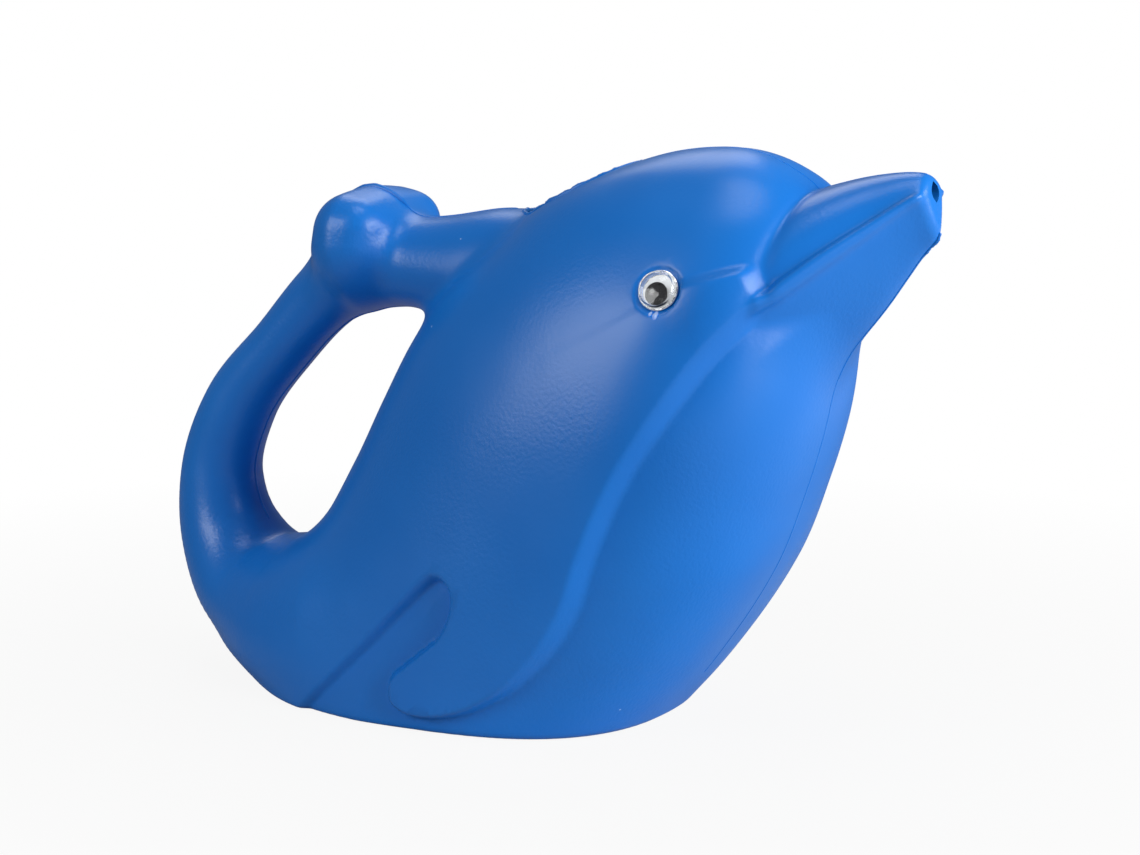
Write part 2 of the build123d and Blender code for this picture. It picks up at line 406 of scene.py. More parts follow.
# %% Flukes
fluke_middle = np.array((-56.0, 0.0, 145.6))
fluke_half = np.array((11.5, 24.7, 11.9))
fluke_round = 9.8
fluke_gaps = [
    np.abs(place - middle) - half + fluke_round
    for place, middle, half in zip((grid_x, grid_y, grid_z), fluke_middle, fluke_half)
]
fluke_outside = np.sqrt(sum(np.maximum(gap, 0) ** 2 for gap in fluke_gaps))
fluke_inside = np.minimum(np.maximum(np.maximum(*fluke_gaps[:2]), fluke_gaps[2]), 0)
flukes = fluke_outside + fluke_inside - fluke_round
print("flukes span", 2 * fluke_half[1], "mm")

# %% [markdown]
# ## The beak
# The beak is another profile carried along X. Its section is widest at the mouth, where the jaws meet,
# and each jaw has its own height and its own curve. A soft bead runs along each side of the mouth and
# thins out to the tip: a thin tube, joined to the jaws. The tip is cut off a little aslant and rounded.

# %% Beak
# x, height of the mouth, top of the upper jaw, bottom of the lower jaw, half width
beak_rows = np.array((
    (82, 125, 158, 92, 39.5),
    (90, 131, 162.4, 99.4, 38),
    (95, 134.9, 164.8, 104, 36.4),
    (100, 139.2, 166.6, 109.2, 33.6),
    (106, 144.4, 168.4, 115.5, 29.4),
    (114, 151.2, 170.4, 124.8, 23),
    (121, 156.9, 171.6, 133.6, 17.4),
    (127, 161.8, 172.2, 142.2, 13),
    (132, 165.4, 172, 149.2, 10),
    (136, 167.3, 171, 153.5, 8),
    (144, 167.6, 168.4, 160, 5),
))
jaw_inset = 2.0
upper_jaw_side = 2.1
lower_jaw_side = 1.75
lower_jaw_fullness = 1.2
upper_jaw_root, upper_jaw_loss, upper_jaw_span = 2.0, 0.5, (96, 122)
beak_start = 83.0
tip_place = np.array((135.3, 163.0))
tip_facing = np.array((0.985, 0.17))
tip_round = 2.8
bead_inset = 1.0
bead_root, bead_tip = 2.7, 1.0
bead_start_span, bead_thin_span = (90, 102), (104, 136)
bead_lean = 0.7
bead_blend = 2.6


def beak_ratio(x, y, z):
    """How far out a point lies in the section of the jaw above or below the mouth. The shares of the
    half width and of the jaw's height are raised to their own powers, which gives a jaw that is round at
    its top or bottom and runs out to an edge at the mouth."""
    mouth, top, bottom, half = (through(x, beak_rows, column) for column in (1, 2, 3, 4))
    rise = z - mouth
    reach = np.where(rise > 0, top - mouth, mouth - bottom)
    upper_jaw_fullness = upper_jaw_root - upper_jaw_loss * between(x, *upper_jaw_span)
    fullness = np.where(rise > 0, upper_jaw_fullness, lower_jaw_fullness).astype(np.float32)
    side = np.where(rise > 0, upper_jaw_side, lower_jaw_side).astype(np.float32)
    total = (np.abs(rise) / reach) ** fullness + np.abs(y / (half - jaw_inset)) ** side
    return total ** (2 / (fullness + side))


jaws = as_distance(beak_ratio(grid_x, grid_y, grid_z))
tip = (grid_x - tip_place[0]) * tip_facing[0] + (grid_z - tip_place[1]) * tip_facing[1]
mouth_line = through(grid_x, beak_rows, 1)
bead_side = np.abs(grid_y) - through(grid_x, beak_rows, 4) + bead_inset
bead_radius = bead_root + (bead_tip - bead_root) * between(grid_x, *bead_thin_span)
bead_radius = bead_radius * between(grid_x, *bead_start_span)
bead = bead_lean * (np.hypot(bead_side, grid_z - mouth_line) - bead_radius)
beak = np.maximum(soft_union(jaws, bead, bead_blend), beak_start - grid_x)
beak = soft_cut(beak, tip, tip_round)
print("beak reaches x", tip_place[0], "mm")

# %% [markdown]
# ## The eye sockets and the joined form
# Each eye is glued into a shallow round recess. Its place and direction are those of the joint that the
# pupil turns on, read from the frame, so the eye and the recess can't drift apart. The recess is first
# filled to its floor and then cut, so its floor is flat whatever the flank does there.

# %% Sockets and the joined field
joints = {joint["name"]: joint for joint in frame["record"]["behaviour"]["joints"]}
eye_joint = joints["right_pupil_roll"]
eye_place = np.array(eye_joint["pos_m"]) / MM
eye_facing = np.array(eye_joint["axis"]) / np.linalg.norm(eye_joint["axis"])
eye_radius = 6.0
socket_margin = 0.9
socket_radius = eye_radius + socket_margin
socket_depth = 0.9
socket_round = 1.2
eye_reach = 8
eye_offset = [grid - place for grid, place in zip((grid_x, grid_y, grid_z), eye_place)]
eye_height = sum(offset * part for offset, part in zip(eye_offset, eye_facing))
eye_around = np.sqrt(np.maximum(sum(offset**2 for offset in eye_offset) - eye_height**2, 0))
socket_wall = eye_around - socket_radius
socket_floor = np.maximum(socket_wall, eye_height + socket_depth)
socket_room = np.maximum(socket_wall, -socket_depth - eye_height)
near_eye = np.abs(eye_height) < eye_reach

# softness of a join, what is added to it, and the places between which that comes in
neck_soft, neck_softer, neck_span = 3.5, 12, (136, 102)
fluke_soft, fluke_softer, fluke_span = 8, 12, (-46, -60)
beak_soft, throat_softer, throat_gap, throat_span = 1.2, 6, 5, 12
crease_depth, crease_half, crease_rise = 0.4, 1.2, 5
base_round = 2.2
neck_blend = neck_soft + neck_softer * between(grid_z, *neck_span)
fluke_blend = fluke_soft + fluke_softer * between(grid_x, *fluke_span)
beak_blend = beak_soft + throat_softer * ease((mouth_line - throat_gap - grid_z) / throat_span)
handle = soft_union(tail, flukes, fluke_blend)
can_field = soft_union(trunk, handle, neck_blend)
crease = np.exp(-(((can_field - beak) / crease_half) ** 2)) * ease((grid_z - mouth_line) / crease_rise)
can_field = soft_union(can_field, beak, beak_blend) + crease_depth * crease - cheek_swell[:, None, :]
can_field = np.where(near_eye, soft_union(can_field, socket_floor, socket_round), can_field)
can_field = np.where(near_eye, soft_cut(can_field, -socket_room, socket_round), can_field)
can_field = soft_cut(can_field, -grid_z, base_round).astype(np.float32)
can_field = can_field[:, : len(axis_y) - spare, :]
filled = 2 * sample_step**3 * float((can_field < 0).sum())
print("the form takes up", round(filled / 1000), "cubic centimetres")

# %% [markdown]
# ## From the field to a mesh
# Blender has a Remesh modifier for this, but it knows only meshes, not fields. A surface net is short in
# numpy: every cell of samples that the surface passes through gets one point, at the mean of the places
# where the cell's edges cross zero, and every crossed edge joins the four cells round it with one face.

# %% Surface net
def surface_net(values, low, step):
    """Points and four-sided faces of the surface where a box of samples is zero. A crossing lies on its
    edge where a straight line between the two samples would be zero."""
    steps = np.eye(3, dtype=int)
    cells = np.array(values.shape) - 1
    inside = values < 0
    places, rings = [], []
    for axis in range(3):
        first = np.argwhere(np.diff(inside, axis=axis))
        near, far = values[tuple(first.T)], values[tuple((first + steps[axis]).T)]
        places.append(first + steps[axis] * (near / (near - far))[:, None])
        side, rise = steps[(axis + 1) % 3], steps[(axis + 2) % 3]
        ring = np.stack((first - side - rise, first - rise, first, first - side), axis=1)
        ring = np.where((near < 0)[:, None, None], ring, ring[:, ::-1])
        rings.append(np.ravel_multi_index(tuple(np.moveaxis(ring, -1, 0)), tuple(cells)))
    places, rings = np.concatenate(places), np.concatenate(rings)
    corners = np.unique(rings, return_inverse=True)[1].reshape(-1)
    count = np.bincount(corners)
    points = [np.bincount(corners, np.repeat(places[:, axis], 4)) / count for axis in range(3)]
    return low + step * np.column_stack(points), corners.reshape(-1, 4)


def new_piece(name, points, faces, smooth=True):
    """A mesh object at the origin from points in millimetres and a list of each face's corners."""
    mesh = bpy.data.meshes.new(name)
    mesh.from_pydata((points * MM).tolist(), [], faces)
    if smooth:
        mesh.shade_smooth()
    else:
        mesh.shade_flat()
    return placed(name, mesh)


def settle(piece):
    """Makes what a piece's modifiers give its own mesh, and takes the modifiers off."""
    shaped = bpy.data.meshes.new_from_object(piece.evaluated_get(bpy.context.evaluated_depsgraph_get()))
    piece.modifiers.clear()
    piece.data = shaped
    return piece


def both_halves(half):
    """A field mirrored at its last layer across, the plane y = 0."""
    return np.concatenate((half, half[:, -2::-1, :]), axis=1)


outer_points, outer_faces = surface_net(both_halves(can_field), reach_low, sample_step)
shell = new_piece("dolphin_can", outer_points, outer_faces.tolist())
print("outer skin", len(outer_points), "points")

# %% [markdown]
# The skin has more faces than it needs on its broad flanks. Decimate thins those and keeps the creases.
# The inside of the wall is the same field, read 1.9 mm deeper on every third sample, with its faces
# turned round. The filling mouth and the spout hole are then cut through both skins at once by Boolean.

# %% Wall and openings
wall = 1.9
inner_stride = 3
skin_triangles = 138_000
thin = shell.modifiers.new("thin", "DECIMATE")
thin.ratio = skin_triangles / (2 * len(outer_faces))
settle(shell)

first_layer = (can_field.shape[1] - 1) % inner_stride
inner_half = can_field[:, first_layer::inner_stride, :] + wall
inner_field = both_halves(inner_half)[::inner_stride, :, ::inner_stride]
inner_low = reach_low + (0, first_layer * sample_step, 0)
inner_points, inner_faces = surface_net(inner_field, inner_low, inner_stride * sample_step)
inner_skin = new_piece("inner_skin", inner_points, inner_faces[:, ::-1].tolist())
print("inner skin", len(inner_points), "points")


def joined(first, second):
    """Two mesh objects as one, under the first one's name."""
    with bpy.context.temp_override(active_object=first, selected_editable_objects=[first, second]):
        bpy.ops.object.join()
    return first


def full_turn(count):
    """Even angles round a circle, in radians."""
    return np.linspace(0, 2 * np.pi, count, endpoint=False)


def prism(name, outline, middle, facing, depth):
    """A closed prism: an outline in a plane, carried half a depth each way along the plane's normal."""
    facing = facing / np.linalg.norm(facing)
    across = np.array((0.0, 1.0, 0.0))
    along = np.cross(across, facing)
    flat = middle + outline[:, :1] * along + outline[:, 1:] * across
    count = len(outline)
    points = np.vstack((flat - facing * depth / 2, flat + facing * depth / 2))
    ring = np.arange(count)
    following = np.roll(ring, -1)
    sides = np.column_stack((ring, following, following + count, ring + count)).tolist()
    return new_piece(name, points, [*sides, ring[::-1].tolist(), (ring + count).tolist()], smooth=False)


mouth_place = np.array((18.1, 0.0, 164.2))
mouth_facing = np.array((-0.4286, 0.0, 0.9035))
mouth_half = np.array((21.0, 13.0))
mouth_ragged = 0.25
mouth_depth = 16.0
turn = full_turn(240)
waver = np.sin(23 * turn) * np.sin(7 * turn + 1) + 0.6 * np.sin(41 * turn)
ragged = 1 + mouth_ragged / mouth_half.min() * waver
mouth_outline = mouth_half * ragged[:, None] * np.column_stack((np.cos(turn), np.sin(turn)))
mouth_cut = prism("mouth_cut", mouth_outline, mouth_place, mouth_facing, mouth_depth)

spout_half = np.array((3.1, 2.6))
spout_place = np.array((135.0, 0.0, 167.0))
spout_depth = 14.0
lens = np.linspace(-1, 1, 13)
lens_side = spout_half * np.column_stack((lens, 1 - lens**2))
lens_outline = np.vstack((lens_side, lens_side[-2:0:-1] * (1, -1)))[::-1]
spout_cut = prism("spout_cut", lens_outline, spout_place, np.array((1.0, 0.0, 0.0)), spout_depth)

shell = joined(shell, inner_skin)
cutter = joined(mouth_cut, spout_cut)
opening = shell.modifiers.new("openings", "BOOLEAN")
opening.operation = "DIFFERENCE"
opening.solver = "EXACT"
opening.object = cutter
settle(shell)
bpy.data.objects.remove(cutter)
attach(shell, "can")
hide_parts("body")
print("can", len(shell.data.vertices), "points,", len(shell.data.polygons), "faces")

# %% [markdown]
# The thinned mesh shades a little unevenly, because its faces differ in size. The field knows the true
# slope everywhere, so each corner of a face takes its normal from the field. Corners on the cut edges
# of the openings, where the field's slope and the face disagree, keep the face's own normal.

# %% Normals from the field
def blended(values, points):
    """Values of a box of samples at any points: a weighted mean of the eight samples round each. The
    box holds one half, so a point on the other side reads its mirror image."""
    mirrored = points.astype(float)
    mirrored[:, 1] = -np.abs(mirrored[:, 1])
    place = (mirrored - reach_low) / sample_step
    cell = np.clip(np.floor(place).astype(int), 0, np.array(values.shape[:3]) - 2)
    share = place - cell
    total = 0
    for corner in np.ndindex(2, 2, 2):
        weight = np.prod(np.where(corner, share, 1 - share), axis=1)
        found = values[tuple((cell + corner).T)]
        total = total + (found * weight if found.ndim == 1 else found * weight[:, None])
    return total


def field_normals(points):
    """Unit vectors along the field's steepest rise, mirrored on the left half."""
    rise = blended(field_slope, points)
    rise[:, 1] *= np.where(points[:, 1] > 0, -1, 1)
    return rise / np.maximum(np.linalg.norm(rise, axis=1, keepdims=True), 1e-6)


field_slope = np.stack(np.gradient(can_field, sample_step), axis=-1)
field_slope[:, -1, :, 1] = 0


def numbers(source, key, width):
    """One property of every item of a Blender collection, as an array."""
    values = np.empty(len(source) * width, np.int32 if key.endswith("index") else np.float32)
    source.foreach_get(key, values)
    return values.reshape(-1, width) if width > 1 else values


agree_angle = 40
agree = np.cos(np.radians(agree_angle))
mesh = shell.data
points = numbers(mesh.vertices, "co", 3).astype(float) / MM
depth = blended(can_field, points)
smooth = field_normals(points) * np.where(depth < -wall / 2, -1, 1)[:, None]
loop_points = numbers(mesh.loops, "vertex_index", 1)
loop_faces = np.repeat(np.arange(len(mesh.polygons)), numbers(mesh.polygons, "loop_total", 1).astype(int))
face_normals = numbers(mesh.polygons, "normal", 3)[loop_faces]
loop_normals = smooth[loop_points]
match = (face_normals * loop_normals).sum(1) > agree
loop_normals = np.where(match[:, None], loop_normals, face_normals)
mesh.normals_split_custom_set(loop_normals.tolist())
print("corners with the field's normal", round(100 * match.mean(), 1), "per cent")

# %% [markdown]
# ## The parting line
# The mould closes in the middle plane, and where its halves meet, the plastic is squeezed into a thin
# raised seam. It is a small profile carried along a path. The path is where rays in the middle plane
# first leave the plastic: rays from inside the head give the chest, beak and crown, rays from the
# middle of the tail give the outer and inner line of the handle, and rays from the trunk give the back.

# %% Seams of the mould
ray_step = 0.25
merge_distance = 1e-7


def first_exit(spots):
    """The field along rows of points, and the step at which each row first leaves the plastic."""
    values = blended(can_field, spots.reshape(-1, 3)).reshape(spots.shape[:2])
    return values, np.argmax((values[:, :-1] < 0) & (values[:, 1:] >= 0), axis=1)


def leaving(start, heading, reach):
    """Where rays in the middle plane first pass from inside to outside: the field is read at even steps
    along each ray, and the first rise through zero is placed by straight interpolation."""
    run = np.arange(0, reach, ray_step)
    spots = start[:, None, :] + run[:, None] * heading[:, None, :]
    values, step = first_exit(np.stack((spots[..., 0], 0 * spots[..., 0], spots[..., 1]), axis=-1))
    near, far = (np.take_along_axis(values, step[:, None] + k, 1)[:, 0] for k in (0, 1))
    return start + heading * (run[step] + ray_step * near / (near - far))[:, None]


def even_path(path, parts):
    """The same line with evenly spaced points, softened by a running mean."""
    run = np.r_[0, np.cumsum(np.hypot(*np.diff(path, axis=0).T))]
    place = np.linspace(0, run[-1], parts)
    even = np.column_stack([np.interp(place, run, path[:, k]) for k in (0, 1)])
    even[1:-1] = (even[:-2] + 2 * even[1:-1] + even[2:]) / 4
    return even


def grid_piece(name, grid, around=False):
    """A mesh from a grid of points in millimetres, rows along the path and columns across it, with its
    poles and its seam merged. With around, the last column joins the first."""
    rows, columns = grid.shape[:2]
    number = np.arange(rows * columns).reshape(rows, columns)
    if around:
        number = np.column_stack((number, number[:, 0]))
    corners = (number[:-1, :-1], number[1:, :-1], number[1:, 1:], number[:-1, 1:])
    piece = new_piece(name, grid.reshape(-1, 3), np.stack(corners, -1).reshape(-1, 4).tolist())
    work = bmesh.new()
    work.from_mesh(piece.data)
    bmesh.ops.remove_doubles(work, verts=work.verts, dist=merge_distance)
    bmesh.ops.dissolve_degenerate(work, edges=work.edges, dist=merge_distance)
    bmesh.ops.recalc_face_normals(work, faces=work.faces)
    work.to_mesh(piece.data)
    work.free()
    return piece


def seam(name, path, width, height, taper=0.02, sides=10):
    """A low round ridge along a path in the middle plane: a flattened circle whose width lies across
    and whose height lies along the field's slope. Both shrink to nothing at the two ends."""
    points = np.column_stack((path[:, 0], 0 * path[:, 0], path[:, 1]))
    outwards = field_normals(points)
    ends = np.sqrt(np.sin(np.pi * np.linspace(0, 1, len(path))).clip(0, taper) / taper)
    turn = full_turn(sides)
    up = (ends * height)[:, None] * np.sin(turn)
    across = (ends * width / 2)[:, None] * np.cos(turn)
    grid = points[:, None, :] + up[..., None] * outwards[:, None, :] + across[..., None] * (0, 1, 0)
    piece = grid_piece(name, grid, around=True)
    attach(piece, "can")
    seams.append(piece)


def jagged(count, seed, soft=2):
    """Uneven numbers between 0 and 1 along a line: seeded noise, averaged over a few neighbours."""
    noise = np.random.default_rng(seed).random(count + 4 * soft)
    even = np.convolve(noise, np.ones(2 * soft + 1) / (2 * soft + 1), "same")[2 * soft : -2 * soft]
    return (even - even.min()) / np.ptp(even)


def fan_path(centre, first, last, count, reach, parts):
    """The line where rays from one point, fanned between two angles in degrees, leave the plastic."""
    turn = np.radians(np.linspace(first, last, count))
    heading = np.column_stack((np.cos(turn), np.sin(turn)))
    return even_path(leaving(np.tile(centre, (count, 1)), heading, reach), parts)


seams = []
seam_width = 0.9
head_centre = np.array((75.0, 125.0))
chest = fan_path(head_centre, -97, -22, count=300, reach=150, parts=220)
seam("seam_chest", chest, width=1.3, height=0.14)
throat = fan_path(head_centre, -26, 26.5, count=300, reach=90, parts=160)
pinched = ease((np.linspace(0, 1, len(throat)) - 0.80) / 0.08)
seam("seam_throat", throat, seam_width, height=0.25 + 0.75 * jagged(len(throat), seed=3) * pinched)
crown = fan_path(head_centre, 39.0, 127.5, count=500, reach=90, parts=300)
seam("seam_crown", crown, seam_width, height=0.2)

tail_line = rounded_line(tail_rows, parts=130)
tail_run = np.diff(tail_line[:, :2], axis=0)
tail_run /= np.linalg.norm(tail_run, axis=1, keepdims=True)
tail_left = np.column_stack((-tail_run[:, 1], tail_run[:, 0]))
spine = tail_line[:-1, :2]
outer_part, inner_part = slice(24, 122), slice(34, 112)
tail_reach = 45
outer_line = even_path(leaving(spine[outer_part], tail_left[outer_part], tail_reach), parts=420)
over_flukes = between(outer_line[:, 1], 146, 152) * between(outer_line[:, 0], -44, -48)
seam("seam_handle", outer_line, seam_width + 0.9 * over_flukes, height=0.32 + 0.75 * over_flukes)
inner_line = even_path(leaving(spine[inner_part], -tail_left[inner_part], tail_reach), parts=260)
seam("seam_grip", inner_line, seam_width, height=0.3)

trunk_centre = np.array((20.0, 80.0))
back_line = fan_path(trunk_centre, 148, 192, count=300, reach=110, parts=160)
back_height = back_line[:, 1]
flash = 1.1 * jagged(len(back_line), seed=5, soft=1) * between(back_height, 98, 102)
seam("seam_back", back_line, seam_width, height=0.3 + flash * between(back_height, 119, 116))
print(len(seams), "seams")

# %% [markdown]
# ## The filling mouth
# The mouth is cut by hand with a hot knife, which leaves an uneven raised lip. The lip is a profile
# carried round the oval. Each place on the oval is first carried along the mouth's direction until it
# meets the surface, so the lip follows the curve of the back.

# %% Lip of the filling mouth
lip_bottom, lip_least, lip_more = -1.2, 0.3, 0.6
lip_offset, lip_half = 0.3, 0.75
even_count, even_share = 20, 0.4


def lip_of_mouth(count=240, sides=12):
    """A ring: a flattened circle, 1.5 mm thick and about 2 mm high, carried round the oval of the mouth and
    half sunk in the wall. Its height above the surface goes up and down unevenly."""
    turn = full_turn(count)
    across = np.array((0, 1.0, 0))
    along = np.cross(across, mouth_facing)
    radial = np.cos(turn)[:, None] * along + np.sin(turn)[:, None] * across
    oval = mouth_place + mouth_half[0] * np.cos(turn)[:, None] * along
    oval = oval + mouth_half[1] * np.sin(turn)[:, None] * across
    run = np.arange(-14, 6, ray_step)
    step = first_exit(oval[:, None, :] + run[:, None] * mouth_facing)[1]
    rim = oval + run[step][:, None] * mouth_facing
    uneven = np.r_[jagged(count - even_count, seed=11), np.full(even_count, even_share)]
    height = lip_least + lip_more * uneven[:, None]
    around = full_turn(sides)
    up = (height + lip_bottom) / 2 + (height - lip_bottom) / 2 * np.sin(around)
    out = lip_offset + lip_half * np.cos(around)
    grid = rim[:, None, :] + up[..., None] * mouth_facing + out[:, None] * radial[:, None, :]
    return np.concatenate((grid, grid[:1]))


lip = grid_piece("mouth_lip", lip_of_mouth(), around=True)
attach(lip, "can")
print("lip", len(lip.data.polygons), "faces")

# %% [markdown]
# ## The eyes
# A rolling eye is a white disc, a clear dome with a rim, and a loose black pupil. All three are turned
# shapes: a profile of radius and height, carried round the eye's axis. Sizes are the CAD's, and the
# pupil hangs at the bottom of the chamber. It rides on its own body, which turns about the axis.

# %% Turned pieces of the eyes
rim_width = 1.05
chamber_radius = eye_radius - rim_width
glue_film = 0.2
backing_thick, dome_height, dome_wall, flange_height = 0.6, 2.6, 0.5, 0.7
pupil_radius, pupil_thick, pupil_gap, pupil_play = 3.55, 0.8, 0.3, 0.1
backing_bottom = glue_film - socket_depth
backing_top = backing_bottom + backing_thick
dome_top = backing_top + dome_height
flange_top = backing_top + flange_height
pupil_bottom = backing_top + pupil_gap
pupil_top = pupil_bottom + pupil_thick
pupil_drop = chamber_radius - pupil_play - pupil_radius


def eye_frame(joint):
    """Centre of an eye in millimetres, and its sideways, upward and outward unit vectors."""
    outwards = np.array(joint["axis"]) / np.linalg.norm(joint["axis"])
    sideways = np.cross((0, 0, 1), outwards)
    sideways /= np.linalg.norm(sideways)
    return np.array(joint["pos_m"]) / MM, sideways, np.cross(outwards, sideways), outwards


def turned(name, eye, profile, drop=0.0, count=96):
    """A profile of radius and height carried round the eye's axis, or round a line beside it that lies
    lower by the drop."""
    centre, sideways, upwards, outwards = eye
    turn = full_turn(count)[None, :, None]
    profile = np.asarray(profile, float)
    radius, height = profile[:, None, :1], profile[:, None, 1:]
    ring = radius * (np.cos(turn) * sideways + np.sin(turn) * upwards)
    return grid_piece(name, centre - drop * upwards + ring + height * outwards, around=True)


def rounded_corner(inner, outer, radius, first, last, parts=6):
    """Points of an arc about (inner, outer) between two angles in degrees."""
    turn = np.radians(np.linspace(first, last, parts))
    return np.column_stack((inner + radius * np.cos(turn), outer + radius * np.sin(turn)))


def disc_profile(radius, bottom, top, edge):
    """Half outline of a disc with rounded edges, from the middle of its bottom to the middle of its top."""
    return np.vstack((
        (0, bottom),
        rounded_corner(radius - edge, bottom + edge, edge, -90, 0),
        rounded_corner(radius - edge, top - edge, edge, 0, 90),
        (0, top),
    ))


def dome_profile():
    """Half outline of the clear dome: flange, upright wall, a top that swells slightly, and the chamber."""
    foot_inset, edge, foot_round, shoulder, swell, corner = 0.1, 0.25, 0.15, 0.8, 0.15, 0.3
    dome_radius = chamber_radius + dome_wall
    reach = dome_radius - shoulder
    ceiling = dome_top - dome_wall
    inwards = np.linspace(1, 0, 10)
    return np.vstack((
        (chamber_radius, backing_top),
        (eye_radius - foot_inset, backing_top),
        rounded_corner(eye_radius - edge, flange_top - edge, edge, 0, 90),
        rounded_corner(dome_radius + foot_round, flange_top + foot_round, foot_round, 270, 180),
        rounded_corner(reach, dome_top - swell - shoulder, shoulder, 0, 90),
        np.column_stack((reach * inwards, dome_top - swell * inwards**2))[1:],
        (0, ceiling),
        (chamber_radius - corner, ceiling - swell),
        (chamber_radius, ceiling - swell - corner),
        (chamber_radius, backing_top),
    ))


backing_profile = disc_profile(eye_radius, backing_bottom, backing_top, edge=0.15)
pupil_profile = disc_profile(pupil_radius, pupil_bottom, pupil_top, edge=0.12)
eye_pieces = {"backing": [], "dome": [], "pupil": [], "glue": []}
for side in ("right", "left"):
    eye = eye_frame(joints[f"{side}_pupil_roll"])
    made = {
        "backing": turned(f"{side}_eye_white", eye, backing_profile),
        "dome": turned(f"{side}_eye_window", eye, dome_profile()),
        "pupil": turned(f"{side}_eye_black", eye, pupil_profile, pupil_drop),
    }
    for part, piece in made.items():
        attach(piece, f"{side}_pupil" if part == "pupil" else "can")
        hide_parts(f"{side}_eye_{part}")
        eye_pieces[part].append(piece)
print("pupil hangs", round(pupil_drop, 2), "mm below the middle")

# %% [markdown]
# A film of glue holds each eye, and some of it ran out below and set as two drops. A drop is a
# flattened ball. Its points are laid on the body: each is raised by the height of the surface there.

# %% Glue
def body_height(eye, side, rise):
    """Height of the can's surface over the eye's plane at places of that plane."""
    centre, sideways, upwards, outwards = eye
    base = centre + side[:, None] * sideways + rise[:, None] * upwards
    run = np.arange(-6, 3, 0.1)
    return run[first_exit(base[:, None, :] + run[:, None] * outwards)[1]]


def drop(name, eye, middle, size, count=28):
    """A ball flattened to three half sizes, whose poles lie above and below, laid on the surface."""
    centre, sideways, upwards, outwards = eye
    turn, tilt = np.meshgrid(full_turn(count), np.linspace(0, np.pi, count // 2))
    side = middle[0] + size[0] * np.sin(tilt) * np.cos(turn)
    rise = middle[1] + size[1] * np.cos(tilt)
    lift = size[2] * np.sin(tilt) * np.sin(turn)
    lift = lift + body_height(eye, side.ravel(), rise.ravel()).reshape(side.shape)
    grid = centre + side[..., None] * sideways + rise[..., None] * upwards + lift[..., None] * outwards
    return grid_piece(name, grid, around=True)


film_profile = disc_profile(chamber_radius, -socket_depth, -socket_depth + glue_film, edge=0.08)
# name, place sideways and upwards, and half sizes of each drop
glue_drops = (("run", (0.5, -7.4), (0.75, 1.5, 0.8)), ("bead", (-1.2, -7.0), (0.45, 0.9, 0.6)))
for side, hand in (("right", 1), ("left", -1)):
    eye = eye_frame(joints[f"{side}_pupil_roll"])
    film = turned(f"{side}_glue", eye, film_profile)
    for part, (aside, above), size in glue_drops:
        film = joined(film, drop(f"{side}_glue_{part}", eye, (aside * hand, above), size))
    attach(film, "can")
    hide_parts(f"{side}_eye_glue")
    eye_pieces["glue"].append(film)
print("glue pieces", len(eye_pieces["glue"]))

# %% [markdown]
# ## Finishes
# The can is satin polyethylene: a deep blue that is never quite even, with the fine pebbled grain of a
# blasted mould, which shows where light glances off it, and a few pale specks and scuffs. Specks fall
# on the pupil's black card too, so they are a node group, built once and given its own scale and size
# in each material. All patterns read Object coordinates, because every piece sits at the origin.

# %% Tools for materials, and the specks
def new_material(name):
    """A material with nodes: itself, its node tree and its Principled BSDF."""
    material = bpy.data.materials.new(name)
    material.use_nodes = True
    return material, material.node_tree, material.node_tree.nodes["Principled BSDF"]


def fill(tree, node, values):
    """Gives a node's inputs their values, by name or number: a socket is linked, anything else is set."""
    for key, value in values.items():
        if isinstance(value, bpy.types.NodeSocket):
            tree.links.new(value, node.inputs[key])
        else:
            node.inputs[key].default_value = value
    return node


def add_node(tree, kind, values, **settings):
    """A new node with its properties set and its inputs filled."""
    node = tree.nodes.new(kind)
    for key, value in settings.items():
        setattr(node, key, value)
    return fill(tree, node, values)


def maths(tree, operation, first, second):
    """Result of a Math node on two values, each a number or a socket."""
    return add_node(tree, "ShaderNodeMath", {0: first, 1: second}, operation=operation).outputs[0]


def ramp(tree, value, low, high, start=0.0, end=1.0):
    """Maps a value between two bounds to a start and an end, and holds it there outside them."""
    values = {"Value": value, "From Min": low, "From Max": high, "To Min": start, "To Max": end}
    return add_node(tree, "ShaderNodeMapRange", values).outputs["Result"]


def noise(tree, place, scale, detail=2.0):
    """Cloudy noise, from 0 to 1, with a number of blotches per metre."""
    values = {"Vector": place, "Scale": scale, "Detail": detail}
    return add_node(tree, "ShaderNodeTexNoise", values).outputs["Fac"]


def bump(tree, height, strength, distance, **under):
    """Normal of a surface raised by a height, over another Normal if one is given."""
    values = {"Height": height, "Strength": strength, "Distance": distance, **under}
    return add_node(tree, "ShaderNodeBump", values).outputs[0]


def blend_colours(tree, share, first, second):
    """First colour where the share is 0, second where it is 1. A colour is four numbers or a socket."""
    values = {"Factor": share, 6: first, 7: second}
    return add_node(tree, "ShaderNodeMix", values, data_type="RGBA").outputs[2]


def show_mixed(tree, share, first, second):
    """Puts two shaders on the surface: the first where the share is 0, the second where it is 1."""
    values = {0: share, 1: first.outputs[0], 2: second.outputs[0]}
    mixed = add_node(tree, "ShaderNodeMixShader", values)
    fill(tree, tree.nodes["Material Output"], {"Surface": mixed.outputs[0]})


